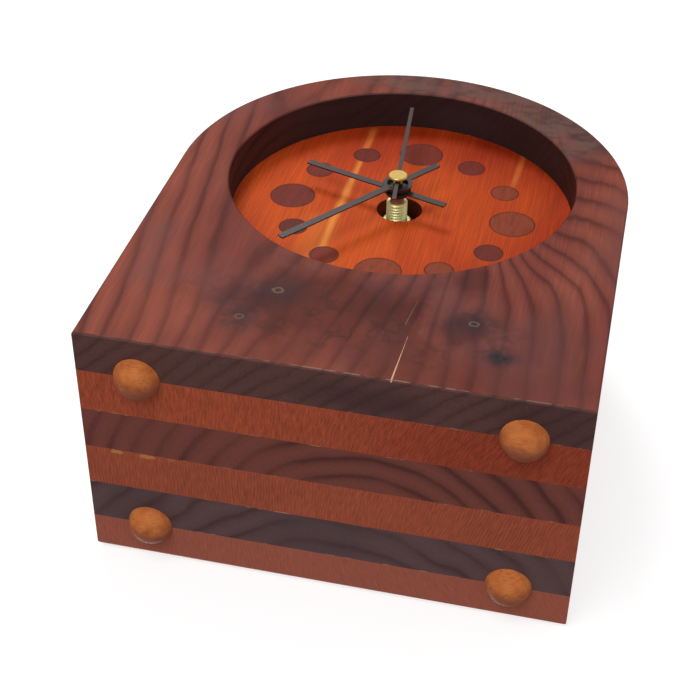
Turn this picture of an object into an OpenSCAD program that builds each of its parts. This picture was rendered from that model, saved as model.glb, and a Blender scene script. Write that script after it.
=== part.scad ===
// Desk clock: an arch-topped block glued up from six boards, with a sunk dial,
// wooden hour inlays, button feet and a quartz movement behind the dial.
// The clock stands on its feet: X to the right, Y to the back, Z up.

/* [Case] */
// Width of the block
case_w = 165; // [150:1:200]
// Depth of the block, from its front face to its back face
case_d = 94; // [84:1:110]
// Height of the straight sides, from the base to the spring line of the arch
side_h = 116; // [100:1:150]
// Thickness of the front board, sanded after gluing
front_t = 15; // [12:0.5:22]
// Thickness of the dial board
dial_t = 16; // [12:0.5:22]
// Thickness of the back board, sanded after gluing
back_t = 15; // [12:0.5:22]
// Chamfer on the front edges of the block
front_chamfer = 0.6; // [0.2:0.1:2]
// Rounding on the back edges of the block
back_round = 2.5; // [0.5:0.1:5]

/* [Dial] */
// Diameter of the round opening in the front board
opening_d = 127; // [110:1:136]
// Height of the dial centre above the base of the block
dial_z = 119; // [110:1:124]
// Radius of the circle that the hour inlays lie on
inlay_ring_r = 41.7; // [36:0.1:48]
// Diameter of the large inlays at 12, 3, 6 and 9
large_inlay_d = 16.6; // [10:0.1:18]
// Diameter of the small inlays at the other hours
small_inlay_d = 10.3; // [6:0.1:14]
// Depth that the inlays are let into the dial
inlay_depth = 6; // [3:0.5:8]
// Diameter of the well around the threaded bushing
well_d = 17; // [15.6:0.1:22]
// Depth of the well
well_depth = 8; // [6:0.5:10]
// Sideways place of the well's centre
well_x = -0.6; // [-1:0.1:1]
// Sideways place of the arbor that carries the hands
arbor_x = -1.6; // [-2:0.1:2]
// Diameter of the cavity bored through the boards behind the dial
cavity_d = 92; // [86:1:110]

/* [Feet] */
// Diameter of a foot's turned head
foot_d = 15.6; // [12:0.1:20]
// Height that a foot stands below the base
foot_h = 6; // [4:0.1:10]
// Diameter of the flat crown that a foot stands on
foot_crown_d = 4; // [3:0.1:7]
// Diameter of a foot's tenon
tenon_d = 9.5; // [6:0.1:11]
// Length of a foot's tenon
tenon_len = 12; // [6:0.5:20]
// Distance of a foot's middle from the side of the block
foot_inset = 20.5; // [12:0.5:30]

/* [Hands] */
// Reach of the hour hand from its centre
hour_reach = 38.7; // [30:0.1:45]
// Tail of the hour hand behind its centre
hour_tail = 20; // [10:0.1:25]
// Reach of the minute hand from its centre
minute_reach = 55.7; // [45:0.1:60]
// Tail of the minute hand behind its centre
minute_tail = 20.4; // [10:0.1:25]
// Reach of the second hand from its centre
second_reach = 54.6; // [45:0.1:60]
// Tail of the second hand behind its centre
second_tail = 14.6; // [10:0.1:25]
// Width of the hour and minute hands
hand_w = 2.8; // [2:0.1:4]
// Width of the second hand
second_w = 1.5; // [1:0.1:2]
// Thickness of the hour and minute hands
hand_t = 0.5; // [0.3:0.1:0.8]
// Thickness of the second hand
second_t = 0.35; // [0.25:0.05:0.5]
// Diameter of the hour hand's hub
hour_hub_d = 10; // [8:0.1:12]
// Diameter of the minute hand's hub
minute_hub_d = 11; // [9:0.1:13]
// Diameter of the round window inside the minute hand's hub
minute_window_d = 7.8; // [6.5:0.1:8.5]
// Diameter of the brass cap on the second hand
cap_d = 7; // [5:0.1:9]
// Angle of the hour hand at rest, clockwise from 12
hour_angle = 288.3; // [0:0.1:360]
// Angle of the minute hand at rest, clockwise from 12
minute_angle = 216.2; // [0:0.1:360]
// Angle of the second hand at rest, clockwise from 12
second_angle = 354.6; // [0:0.1:360]
// Depth of the hour hand behind the front of the block
hour_y = 6.5; // [6.2:0.1:7]
// Depth of the minute hand behind the front of the block
minute_y = 3.6; // [3.4:0.1:4]
// Depth of the second hand behind the front of the block
second_y = 1.6; // [1.4:0.1:1.9]

/* [Bushing and nut] */
// Outer diameter of the threaded bushing
bushing_d = 7.9; // [7:0.1:9]
// Height that the bushing stands in front of the dial
bushing_rise = 3.6; // [2:0.1:4.2]
// Width of the nut across its flats
nut_flats = 10; // [9.6:0.1:11]
// Thickness of the nut
nut_t = 2.6; // [1.5:0.1:3]
// Diameter of the washer under the nut
washer_d = 13; // [11:0.1:14]
// Thickness of the washer
washer_t = 0.8; // [0.5:0.1:1.2]
// Diameter of the gasket behind the dial board
gasket_d = 18; // [14:0.5:24]
// Thickness of the gasket
gasket_t = 0.8; // [0.5:0.1:1.5]

/* [Movement] */
// Corner radius of the movement case
movement_r = 4; // [2:0.5:6]
// Thickness of the case's front wall
front_wall = 1.5; // [1.2:0.1:2]
// Thickness of the case's side walls
side_wall = 1.4; // [1.2:0.1:1.6]
// Thickness of the back cover
cover_t = 1.4; // [1.2:0.1:2]
// Depth of the room inside the case, between the front wall and the cover
room_depth = 13.8; // [13.6:0.1:15]
// Diameter of the battery
battery_d = 14.3; // [13.5:0.1:14.5]
// Length of the battery without its button
battery_len = 49.2; // [48:0.1:50]
// Room for the spring leaf behind the battery
leaf_room = 1.6; // [1.2:0.1:2.5]
// Diameter of the set knob
knob_d = 12; // [9:0.5:15]
// Thickness of the set knob
knob_t = 4.5; // [3:0.5:6]
// Height of the guard ring that stands round the set knob
guard_h = 1.2; // [0.6:0.1:2.5]

/* [Gear train] */
// Tooth size of the rotor pinion and fifth wheel
rotor_module = 0.25; // [0.24:0.005:0.26]
// Tooth size of the fifth pinion and seconds wheel
second_module = 0.4; // [0.39:0.005:0.41]
// Tooth size of the third pinion and centre wheel
centre_module = 0.28; // [0.27:0.005:0.285]
// Tooth size of the motion wheel, cannon pinion and hour wheel
motion_module = 0.5; // [0.49:0.005:0.51]
// Teeth of the rotor, fifth, seconds and third pinions and of the motion pinion
pinion_teeth = 8; // [7:1:9]
// Teeth of the fifth wheel
fifth_teeth = 48; // [40:8:48]
// Teeth of the seconds wheel
second_teeth = 40; // [32:8:40]
// Teeth of the third wheel
third_teeth = 64; // [56:8:64]
// Teeth of the centre wheel
centre_teeth = 60; // [56:1:62]
// Teeth of the cannon pinion on the minute arbor
cannon_teeth = 10; // [9:1:11]
// Teeth of the motion wheel
motion_teeth = 30; // [28:1:32]
// Teeth of the hour wheel
hour_teeth = 32; // [30:1:34]
// Direction of the third wheel's arbor from the centre, from the right
third_dir = 165; // [160:1:170]
// Direction of the fifth wheel's arbor from the centre, from the right
fifth_dir = -10; // [-12:1:0]
// Direction of the rotor from the fifth wheel's arbor, from the right
rotor_dir = 35; // [30:1:45]
// Direction of the motion wheel's arbor from the centre, from the right
motion_dir = 95; // [90:1:100]
// Thickness of the toothed wheels
wheel_t = 0.8; // [0.6:0.1:0.9]

/* [Fits] */
// Radial play of a turning arbor in its hole
run_play = 0.05; // [0.02:0.01:0.08]
// Radial glue line round an inlay or a tenon
glue_line = 0.04; // [0.01:0.01:0.1]
// Gap between parts that pass without touching
free_gap = 0.4; // [0.3:0.05:0.5]

/* [Hidden] */
$fn = 96;

// Depths are measured back from the front face of the block, which lies at y = front_y.
// Three equal boards fill the block between the dial board and the back board.
front_y = -case_d / 2;
back_joint = case_d - back_t;
board_t = (back_joint - front_t - dial_t) / 3;
base_z = foot_h;
foot_x = case_w / 2 - foot_inset;
arch_r = case_w / 2;
arch_z = base_z + side_h;
axis_z = base_z + dial_z;
dial_face = front_t;
dial_back = front_t + dial_t;

// Movement depths, from the gasket back
case_front = dial_back + gasket_t;
room_front = case_front + front_wall;
room_back = room_front + room_depth;
case_back = room_back + cover_t;
bushing_top = dial_face - bushing_rise;
flange_t = 0.9;
flange_over = 2;
hour_disc_t = 1.2;
hour_disc_y = room_front + flange_t + free_gap;
motion_disc_y = hour_disc_y + hour_disc_t + free_gap;
plate_y = motion_disc_y + wheel_t + 0.2 + free_gap;
plate_t = 1;
centre_disc_y = plate_y + plate_t + free_gap + 0.1;
third_disc_y = centre_disc_y + wheel_t + 2 * free_gap + 0.2;
second_disc_y = third_disc_y + wheel_t + 2 * free_gap;
fifth_disc_y = second_disc_y + wheel_t + 2 * free_gap;
post_y = fifth_disc_y + wheel_t + free_gap;
pinion_over = 0.2;

// Places in the face of the dial, as [sideways, up]
dial_centre = [0, axis_z];
hand_axis = [arbor_x, axis_z];
third_module = centre_module * (centre_teeth + pinion_teeth) / (third_teeth + pinion_teeth);
hour_module = motion_module * (cannon_teeth + motion_teeth) / (pinion_teeth + hour_teeth);
third_axis = polar(hand_axis, centre_module * (centre_teeth + pinion_teeth) / 2, third_dir);
fifth_axis = polar(hand_axis, second_module * (second_teeth + pinion_teeth) / 2, fifth_dir);
rotor_axis = polar(fifth_axis, rotor_module * (fifth_teeth + pinion_teeth) / 2, rotor_dir);
motion_axis = polar(hand_axis, motion_module * (cannon_teeth + motion_teeth) / 2, motion_dir);

// Room for glue above the end of a foot's tenon
glue_pocket = 0.3;

// Arbors and tubes
seat_play = 0.02;
hour_tube_d = 5;
minute_tube_d = 3.5;
second_arbor_d = 1;
pivot_d = 1;
motion_arbor_d = 2;
hour_collet_d = hour_hub_d - 1.6;
dish_d = minute_window_d + 1.2;
second_hub_d = 3;
second_sleeve_d = 1.8;
cap_plug_d = 2.6;
hour_tube_top = hour_y - 0.3;
minute_tube_top = minute_y - 0.2;
minute_tube_end = centre_disc_y + wheel_t + 0.3;
pivot_depth = 1.2;
third_hub_d = 4;
small_hub_d = 3.4;
centre_hub_d = minute_tube_d + 2.5;
seconds_tube_d = 1.5;

// Battery bay and case, measured from the hand axis; the battery's length sets the width
button_d = 5.5;
button_len = 1.3;
battery_rest = 0.3;
battery_lift = 0.9;
contact_t = 0.4;
contact_w = 9;
half_w = (battery_len + button_len + battery_rest + leaf_room) / 2 + contact_t + side_wall;
wheel_room = 1.5;
bay_wall = 1.2;
room_floor = -centre_teeth * centre_module / 2 - wheel_room;
bay_top = room_floor - bay_wall;
bay_floor = bay_top - battery_lift - battery_d - battery_rest;
case_low = bay_floor - side_wall;
battery_up = bay_floor + battery_rest + battery_d / 2;
battery_y = room_front + battery_rest + battery_d / 2;
battery_right = half_w - side_wall - contact_t - battery_rest - button_len;
contact_low = bay_floor + movement_r;
tab_w = 3;
tab_play = 0.1;
rib_w = 1.5;
rib_x = 14;
rib_play = 0.4;
rib_root = 0.5;
leaf_t = 0.3;
leaf_rise = 4;
leaf_tip = 1;

// Middle plate and the posts that hold it and the stator
plate_left = 15.5;
plate_right = 17.5;
plate_up = 15;
plate_low = room_floor + free_gap;
post_inset = 2.5;
plate_post_d = 3;
stator_post_d = 2.6;

// Motor and circuit, measured from the hand axis
stator_t = 0.8;
stator_y = centre_disc_y + wheel_t + 0.3;
core_y = stator_y + stator_t;
coil_down = 7.5;
coil_side = 4.5;
coil_span = 14;
coil_up = half_w - coil_down;
coil_right = half_w - coil_side;
coil_left = coil_right - coil_span;
leg_w = 4;
core_w = 3;
stator_top = coil_up + core_w + leg_w / 2;
stator_post_up = stator_top - 0.5;
bobbin_d = 7.2;
bobbin_flange = 0.8;
bobbin_core_d = 4;
bobbin_gap = 0.3;
winding_d = 6.6;
magnet_d = 5;
magnet_t = 2.4;
air_gap = 0.6;
board_thick = 0.8;
circuit_y = room_back - 0.9 - board_thick;
circuit_h = 9;
circuit_edge = 1.1;
circuit_high = half_w - side_wall - circuit_edge;
circuit_low = circuit_high - circuit_h;
circuit_mid = circuit_high - circuit_h / 2;
circuit_half_w = half_w - side_wall - contact_t - 0.2;
circuit_post_x = 4;
circuit_post_inset = 4;
circuit_post_d = 2;
chip_x = -9;
chip_r = 3;
chip_h = 0.9;
crystal_x = -3;
crystal_d = 2;
crystal_len = 6;

function polar(centre, radius, angle) =
    [centre[0] + radius * cos(angle), centre[1] + radius * sin(angle)];

// Outline of a toothed wheel, with one tooth standing at the angle turn
function gear_points(teeth, size, turn) =
    let (pitch = 360 / teeth, radius = teeth * size / 2)
    let (root = radius - 1.15 * size, tip = radius + 0.85 * size)
    [for (i = [0 : teeth - 1], c = [[root, -0.28], [tip, -0.1], [tip, 0.1], [root, 0.28]])
        polar([0, 0], c[0], turn + (i + c[1]) * pitch)];

// Raises a drawing of the dial plane into a slab from depth y to y + t
module slab(y, t) {
    translate([0, front_y + y + t, 0]) rotate([90, 0, 0]) linear_extrude(t) children();
}

// Turns a profile of [radius, depth] about a line through the dial plane
module turned(centre, y = 0) {
    translate([centre[0], front_y + y, centre[1]]) rotate([-90, 0, 0]) rotate_extrude() children();
}

module disc(centre, y, t, d) {
    slab(y, t) translate(centre) circle(d = d);
}

module ring(centre, y, t, d, bore) {
    slab(y, t) translate(centre) difference() {
        circle(d = d);
        circle(d = bore);
    }
}

module gear(centre, y, t, teeth, size, turn) {
    slab(y, t) translate(centre) polygon(gear_points(teeth, size, turn));
}

// Places children about the middle of the movement, which the hand arbor passes
module in_movement() {
    translate(hand_axis) children();
}

// Outline of the movement's case, or of the room in it that lies inset from the outside
module case_outline(inset = 0) {
    w = half_w - inset;
    h = (half_w - case_low) / 2 - inset;
    r = movement_r - inset;
    translate([0, (half_w + case_low) / 2]) {
        square([2 * w, 2 * (h - r)], center = true);
        square([2 * (w - r), 2 * h], center = true);
        for (x = [-1, 1], z = [-1, 1]) translate([x * (w - r), z * (h - r)]) circle(r);
    }
}

// Boards of the case

module arch_outline() {
    translate([-arch_r, base_z]) square([case_w, side_h]);
    translate([0, arch_z]) circle(r = arch_r);
}

// Section through an outer edge, as [distance out, depth], cut back at its front or its back
module chamfered_section(reach, t) {
    polygon([[0, 0], [reach - front_chamfer, 0], [reach, front_chamfer], [reach, t], [0, t]]);
}

module rounded_section(reach, t) {
    square([reach - back_round, t]);
    square([reach, t - back_round]);
    translate([reach - back_round, t - back_round]) circle(back_round);
}

module edge_section(front_edge, reach, t) {
    if (front_edge) chamfered_section(reach, t);
    else rounded_section(reach, t);
}

// An arched board whose outer edge is chamfered at the front or rounded at the back
module edged_board(front_edge, y, t) {
    translate([0, front_y + y, arch_z]) {
        rotate([-90, 0, 0]) rotate(180) rotate_extrude(angle = 180)
            edge_section(front_edge, arch_r, t);
        intersection() {
            translate([0, 0, -side_h]) linear_extrude(side_h) {
                edge_section(front_edge, arch_r, t);
                mirror([1, 0]) edge_section(front_edge, arch_r, t);
            }
            translate([-arch_r, 0, 0]) rotate([0, 90, 0]) linear_extrude(case_w)
                edge_section(front_edge, side_h, t);
        }
    }
}

// Drilled holes for the feet's tenons, half in each of the two boards they straddle
module tenon_holes(y) {
    for (side = [-1, 1]) {
        translate([side * foot_x, front_y + y, base_z - 1])
            cylinder(d = tenon_d + 2 * glue_line, h = tenon_len + 1 + glue_pocket);
    }
}

module cavity_cut(y, t) {
    disc(dial_centre, y - 1, t + 2, cavity_d);
}

module front_board() {
    color("#6f4136") difference() {
        edged_board(true, 0, front_t);
        turned(dial_centre) polygon([
            [0, -1], [opening_d / 2 + front_chamfer + 1, -1], [opening_d / 2, front_chamfer],
            [opening_d / 2, front_t + 1], [0, front_t + 1]]);
        tenon_holes(front_t);
    }
}

// Angles of the inlays run clockwise from 12
function inlay_place(angle) = polar(dial_centre, inlay_ring_r, 90 - angle);
large_angles = [0, 90, 180, 270];
small_angles = [30, 60, 120, 150, 210, 240, 300, 330];

module inlays(angles, d) {
    for (angle = angles) disc(inlay_place(angle), dial_face, inlay_depth, d);
}

module dial_board() {
    color("#c2481d") difference() {
        slab(dial_face, dial_t) arch_outline();
        inlays(large_angles, large_inlay_d + 2 * glue_line);
        inlays(small_angles, small_inlay_d + 2 * glue_line);
        disc([well_x, axis_z], dial_face - 1, well_depth + 1, well_d);
        disc(hand_axis, dial_face, dial_t + 1, bushing_d + free_gap);
        tenon_holes(front_t);
    }
}

module large_inlays() {
    color("#6e3229") inlays(large_angles, large_inlay_d);
}

module small_inlays() {
    color("#6e3229") inlays(small_angles, small_inlay_d);
}

module inner_board(number) {
    y = dial_back + number * board_t;
    difference() {
        slab(y, board_t) arch_outline();
        cavity_cut(y, board_t);
        tenon_holes(back_joint);
    }
}

module third_board() {
    color("#4d3431") inner_board(0);
}

module fourth_board() {
    color("#9a4a31") inner_board(1);
}

module fifth_board() {
    color("#4d3431") inner_board(2);
}

module back_board() {
    color("#9a4a31") difference() {
        edged_board(false, back_joint, back_t);
        cavity_cut(back_joint, back_t);
        tenon_holes(back_joint);
    }
}

// A button foot, turned as one piece with its tenon
module foot(side, y) {
    dome_up = ((foot_d ^ 2 - foot_crown_d ^ 2) / 4 + foot_h ^ 2) / (2 * foot_h);
    dome_r = norm([foot_crown_d / 2, dome_up]);
    color("#c0682c") translate([side * foot_x, front_y + y, 0]) rotate_extrude() {
        intersection() {
            translate([0, dome_up]) circle(dome_r);
            square([foot_d, foot_h]);
        }
        translate([0, foot_h / 2]) square([tenon_d / 2, foot_h / 2 + tenon_len]);
    }
}

// Bushing, nut, washer and gasket

module threaded_bushing() {
    r = bushing_d / 2;
    bore_r = hour_tube_d / 2 + run_play;
    chamfer = 0.5;
    color("#c9ab5e") turned(hand_axis) polygon([
        [bore_r, bushing_top], [r - chamfer, bushing_top], [r, bushing_top + chamfer],
        [r, room_front], [r + flange_over, room_front], [r + flange_over, room_front + flange_t],
        [bore_r, room_front + flange_t]]);
}

module hex_nut() {
    y = dial_face + well_depth - washer_t - nut_t;
    corner_r = nut_flats / 2 / cos(30);
    chamfer = 0.5;
    color("#c9ab5e") difference() {
        intersection() {
            slab(y, nut_t) translate(hand_axis) rotate(30) circle(corner_r, $fn = 6);
            turned(hand_axis, y) polygon([
                [0, 0], [nut_flats / 2, 0], [corner_r, chamfer], [corner_r, nut_t], [0, nut_t]]);
        }
        disc(hand_axis, y - 1, nut_t + 2, bushing_d + 2 * seat_play);
    }
}

module flat_washer() {
    color("#b8a26a")
        ring(hand_axis, dial_face + well_depth - washer_t, washer_t, washer_d, bushing_d + free_gap);
}

module gasket() {
    color("#2a2a2a") ring(hand_axis, dial_back, gasket_t, gasket_d, bushing_d + free_gap);
}

// Hands

// A straight blade with square ends, pointing at a clock angle from the hand axis
module blade(angle, reach, tail, w) {
    rotate(-angle) translate([-w / 2, -tail]) square([w, reach + tail]);
}

module hour_hand() {
    collet_t = 1.2;
    color("#33373a") {
        slab(hour_y, hand_t) in_movement() difference() {
            union() {
                blade(hour_angle, hour_reach, hour_tail, hand_w);
                circle(d = hour_hub_d);
            }
            circle(d = hour_tube_d + 2 * seat_play);
        }
        ring(hand_axis, hour_y + hand_t, collet_t, hour_collet_d, hour_tube_d + 2 * seat_play);
    }
}

module minute_hand() {
    dish_t = 1;
    color("#33373a") {
        slab(minute_y, hand_t) in_movement() difference() {
            union() {
                blade(minute_angle, minute_reach, minute_tail, hand_w);
                circle(d = minute_hub_d);
            }
            circle(d = minute_window_d);
        }
        ring(hand_axis, minute_y + hand_t, dish_t, dish_d, minute_window_d);
        ring(hand_axis, minute_y + hand_t + dish_t, hand_t, dish_d, minute_tube_d + 2 * seat_play);
    }
}

module second_hand() {
    sleeve_t = 1.1;
    color("#33373a") {
        slab(second_y, second_t) in_movement() difference() {
            union() {
                blade(second_angle, second_reach, second_tail, second_w);
                circle(d = second_hub_d);
            }
            circle(d = second_arbor_d + 2 * seat_play);
        }
        ring(hand_axis, second_y + second_t, sleeve_t, second_sleeve_d,
            second_arbor_d + 2 * seat_play);
    }
}

module second_hand_cap() {
    top = 0.15;
    disc_t = 0.8;
    rim = 0.25;
    color("#d8b45a") turned(hand_axis) polygon([
        [0, top], [cap_d / 2 - rim, top], [cap_d / 2, top + rim], [cap_d / 2, top + disc_t],
        [cap_plug_d / 2, top + disc_t], [cap_plug_d / 2, second_y], [0, second_y]]);
}

// Case of the movement

module upper_half() {
    intersection() {
        children();
        translate([-half_w, room_floor]) square([2 * half_w, half_w - room_floor]);
    }
}

plate_posts = [
    for (x = [post_inset - plate_left, plate_right - post_inset])
        for (z = [plate_low + post_inset, plate_up - post_inset]) [x, z]
];
stator_posts = [[coil_left, stator_post_up], [coil_right, stator_post_up]];

// Ribs in the corners at the front of the bay, cut round to cradle the battery
module cradle_rib(x) {
    middle = battery_rest + battery_d / 2;
    translate([hand_axis[0] + x - rib_w / 2, front_y + room_front, hand_axis[1] + bay_floor])
        rotate([90, 0, 90]) linear_extrude(rib_w) difference() {
            translate([-rib_root, -rib_root])
                square([middle + rib_root, bay_top - bay_floor + 2 * rib_root]);
            translate([middle, middle]) circle(battery_d / 2 + rib_play);
        }
}

// The notch in the lower wall lets a finger lift the battery
module movement_case() {
    notch_w = 16;
    notch_depth = 4;
    color("#26282a") {
        difference() {
            union() {
                slab(case_front, room_back - case_front) in_movement() case_outline();
                slab(room_back, cover_t) in_movement() difference() {
                    case_outline();
                    upper_half() case_outline();
                }
            }
            slab(room_front, room_depth + cover_t + 1) in_movement() difference() {
                case_outline(side_wall);
                translate([-half_w, bay_top]) square([2 * half_w, bay_wall]);
            }
            for (side = [-1, 1]) contact_tab(side, tab_play);
            slab(room_back - notch_depth, cover_t + notch_depth + 1) in_movement()
                translate([-notch_w / 2, case_low - 1]) square([notch_w, side_wall + 1.2]);
            disc(hand_axis, case_front - 1, front_wall + 2, bushing_d + 2 * seat_play);
            disc(motion_axis, room_front - 1, 2, motion_arbor_d + 2 * run_play);
        }
        for (p = plate_posts)
            disc(hand_axis + p, room_front, plate_y - room_front, plate_post_d);
        for (p = stator_posts)
            disc(hand_axis + p, room_front, stator_y - room_front, stator_post_d);
        for (side = [-1, 1]) cradle_rib(side * rib_x);
    }
}

// A low ring on the cover guards the set knob
module movement_cover() {
    post_d = 3;
    guard_d = knob_d + 1.6;
    guard_w = 1.2;
    color("#1f2123") {
        slab(room_back, cover_t) difference() {
            in_movement() upper_half() case_outline();
            translate(motion_axis) circle(d = motion_arbor_d + 2 * run_play);
        }
        ring(motion_axis, room_back + cover_t / 2, cover_t / 2 + guard_h, guard_d + 2 * guard_w, guard_d);
        for (p = [hand_axis, third_axis, fifth_axis, rotor_axis]) difference() {
            disc(p, post_y, room_back - post_y, post_d);
            disc(p, post_y - 1, pivot_depth + 1.3, pivot_d + 2 * run_play);
        }
    }
}

module middle_plate() {
    color("#c7c3b6") slab(plate_y, plate_t) difference() {
        in_movement() translate([-plate_left, plate_low])
            square([plate_left + plate_right, plate_up - plate_low]);
        translate(hand_axis) circle(d = minute_tube_d + 2 * run_play);
        translate(motion_axis) circle(d = motion_arbor_d + 2 * run_play);
        for (p = [third_axis, fifth_axis, rotor_axis])
            translate(p) circle(d = pivot_d + 2 * run_play);
    }
}

// Wheels that carry the hands

module hour_wheel() {
    bore_d = minute_tube_d + 2 * run_play;
    color("#d9d2bd") difference() {
        union() {
            gear(hand_axis, hour_disc_y, hour_disc_t, hour_teeth, hour_module, motion_dir);
            disc(hand_axis, hour_tube_top, hour_disc_y - hour_tube_top + 0.5, hour_tube_d);
        }
        disc(hand_axis, hour_tube_top - 1, hour_disc_y + hour_disc_t, bore_d);
    }
}

module motion_wheel() {
    far = motion_dir + 180;
    color("#d9d2bd") {
        gear(motion_axis, hour_disc_y - pinion_over, motion_disc_y - hour_disc_y + pinion_over,
            pinion_teeth, hour_module, far + 180 / pinion_teeth);
        gear(motion_axis, motion_disc_y, wheel_t, motion_teeth, motion_module,
            far + 180 / motion_teeth);
        disc(motion_axis, room_front - 0.8, case_back + knob_t - room_front, motion_arbor_d);
    }
}

module minute_arbor() {
    color("#d9d2bd") difference() {
        union() {
            disc(hand_axis, minute_tube_top, minute_tube_end - minute_tube_top, minute_tube_d);
            gear(hand_axis, motion_disc_y - pinion_over, wheel_t + 2 * pinion_over,
                cannon_teeth, motion_module, motion_dir);
        }
        disc(hand_axis, minute_tube_top - 1, minute_tube_end - minute_tube_top + 2,
            second_arbor_d + 2 * run_play);
    }
}

// A wheel with a ring of round lightening holes
module crossed_wheel(centre, y, teeth, size, turn, hub_d) {
    holes = 5;
    rim_r = teeth * size / 2 - 2 * size;
    hole_ring = (rim_r + hub_d / 2) / 2;
    hole_d = (rim_r - hub_d / 2) * 0.6;
    slab(y, wheel_t) translate(centre) difference() {
        polygon(gear_points(teeth, size, turn));
        for (i = [1 : holes]) translate(polar([0, 0], hole_ring, i * 360 / holes)) circle(d = hole_d);
    }
}

module centre_wheel() {
    color("#e6e1d3") difference() {
        crossed_wheel(hand_axis, centre_disc_y, centre_teeth, centre_module, third_dir,
            centre_hub_d);
        disc(hand_axis, centre_disc_y - 1, wheel_t + 2, minute_tube_d + 2 * run_play);
    }
}

// Train of the second hand

module third_wheel() {
    far = third_dir + 180;
    color("#e6e1d3") {
        crossed_wheel(third_axis, third_disc_y, third_teeth, third_module,
            far + 180 / third_teeth, third_hub_d);
        gear(third_axis, centre_disc_y - pinion_over, wheel_t + 2 * pinion_over,
            pinion_teeth, centre_module, far + 180 / pinion_teeth);
        disc(third_axis, plate_y, post_y + pivot_depth - plate_y, pivot_d);
    }
}

module seconds_wheel() {
    color("#e6e1d3") difference() {
        union() {
            crossed_wheel(hand_axis, second_disc_y, second_teeth, second_module, fifth_dir,
                small_hub_d);
            gear(hand_axis, third_disc_y - pinion_over, wheel_t + 2 * pinion_over,
                pinion_teeth, third_module, third_dir);
            disc(hand_axis, third_disc_y, second_disc_y - third_disc_y + 0.1, seconds_tube_d);
        }
        disc(hand_axis, third_disc_y - 1, 5, second_arbor_d + 2 * seat_play);
    }
}

module seconds_arbor() {
    color("#b9bcc0") disc(hand_axis, second_y, post_y + pivot_depth - second_y, second_arbor_d);
}

module fifth_wheel() {
    far = fifth_dir + 180;
    color("#e6e1d3") {
        crossed_wheel(fifth_axis, fifth_disc_y, fifth_teeth, rotor_module, rotor_dir, small_hub_d);
        gear(fifth_axis, second_disc_y - pinion_over, wheel_t + 2 * pinion_over,
            pinion_teeth, second_module, far + 180 / pinion_teeth);
        disc(fifth_axis, plate_y, post_y + pivot_depth - plate_y, pivot_d);
    }
}

module rotor_pinion() {
    color("#e6e1d3") {
        gear(rotor_axis, fifth_disc_y - pinion_over, wheel_t + pinion_over,
            pinion_teeth, rotor_module, rotor_dir + 180 + 180 / pinion_teeth);
        disc(rotor_axis, plate_y, post_y + pivot_depth - plate_y, pivot_d);
    }
}

module rotor_magnet() {
    color("#5b5f66") ring(rotor_axis, stator_y + (stator_t - magnet_t) / 2, magnet_t,
        magnet_d, pivot_d + 2 * seat_play);
}

// Motor and circuit

module stator() {
    rotor = rotor_axis - hand_axis;
    color("#9a9ea4") slab(stator_y, stator_t) in_movement() difference() {
        union() {
            translate(rotor) circle(d = magnet_d + 2 * air_gap + leg_w);
            translate([coil_left - leg_w / 2, rotor[1]]) square([leg_w, stator_top - rotor[1]]);
            translate([coil_right - leg_w / 2, rotor[1] - leg_w / 2])
                square([leg_w, stator_top - rotor[1] + leg_w / 2]);
            translate([rotor[0], rotor[1] - leg_w / 2]) square([coil_right - rotor[0], leg_w]);
        }
        translate(rotor) circle(d = magnet_d + 2 * air_gap);
    }
}

module coil_core() {
    w = coil_right - coil_left + leg_w;
    color("#9a9ea4") slab(core_y, stator_t) in_movement()
        translate([coil_left - leg_w / 2, coil_up - core_w / 2]) square([w, core_w]);
}

// Turned parts of the coil lie along the core, from x to x + length
module along_core(x, length, d) {
    translate([hand_axis[0] + x, front_y + core_y + stator_t / 2, hand_axis[1] + coil_up])
        rotate([0, 90, 0]) cylinder(d = d, h = length);
}

coil_start = coil_left + leg_w / 2 + bobbin_gap;
coil_end = coil_right - leg_w / 2 - bobbin_gap;

module core_slot() {
    slab(core_y - seat_play, stator_t + 2 * seat_play) in_movement()
        translate([coil_left, coil_up - core_w / 2 - seat_play])
            square([coil_right - coil_left, core_w + 2 * seat_play]);
}

module coil_bobbin() {
    color("#e8e4da") difference() {
        union() {
            along_core(coil_start, coil_end - coil_start, bobbin_core_d);
            along_core(coil_start, bobbin_flange, bobbin_d);
            along_core(coil_end - bobbin_flange, bobbin_flange, bobbin_d);
        }
        core_slot();
    }
}

module coil_winding() {
    start = coil_start + bobbin_flange;
    color("#b5622f") difference() {
        along_core(start, coil_end - bobbin_flange - start, winding_d);
        along_core(start - 1, coil_end - start + 2, bobbin_core_d);
    }
}

circuit_posts = [[circuit_post_inset - circuit_half_w, circuit_mid], [circuit_post_x, circuit_mid]];

module circuit_board() {
    color("#2f6b3f") {
        slab(circuit_y, board_thick) in_movement()
            translate([-circuit_half_w, circuit_low])
                square([2 * circuit_half_w, circuit_h]);
        for (p = circuit_posts)
            disc(hand_axis + p, circuit_y + board_thick,
                room_back - circuit_y - board_thick, circuit_post_d);
    }
}

module chip() {
    color("#151515") turned(hand_axis + [chip_x, circuit_mid], circuit_y - chip_h) polygon([
        [0, 0], [chip_r * 0.55, chip_h * 0.12], [chip_r * 0.87, chip_h * 0.55],
        [chip_r, chip_h], [0, chip_h]]);
}

module crystal() {
    color("#b9bcc0") translate([hand_axis[0] + crystal_x, front_y + circuit_y - crystal_d / 2,
        hand_axis[1] + circuit_mid]) rotate([0, 90, 0]) cylinder(d = crystal_d, h = crystal_len);
}

// A contact stands against one end wall of the bay, from low to high, and is w wide
module contact_strip(side, w, low, high, play = 0) {
    wall = half_w - side_wall;
    slab(battery_y - w / 2 - play, w + 2 * play) in_movement()
        translate([side > 0 ? wall - contact_t - play : -wall, low])
            square([contact_t + play, high - low]);
}

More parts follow.
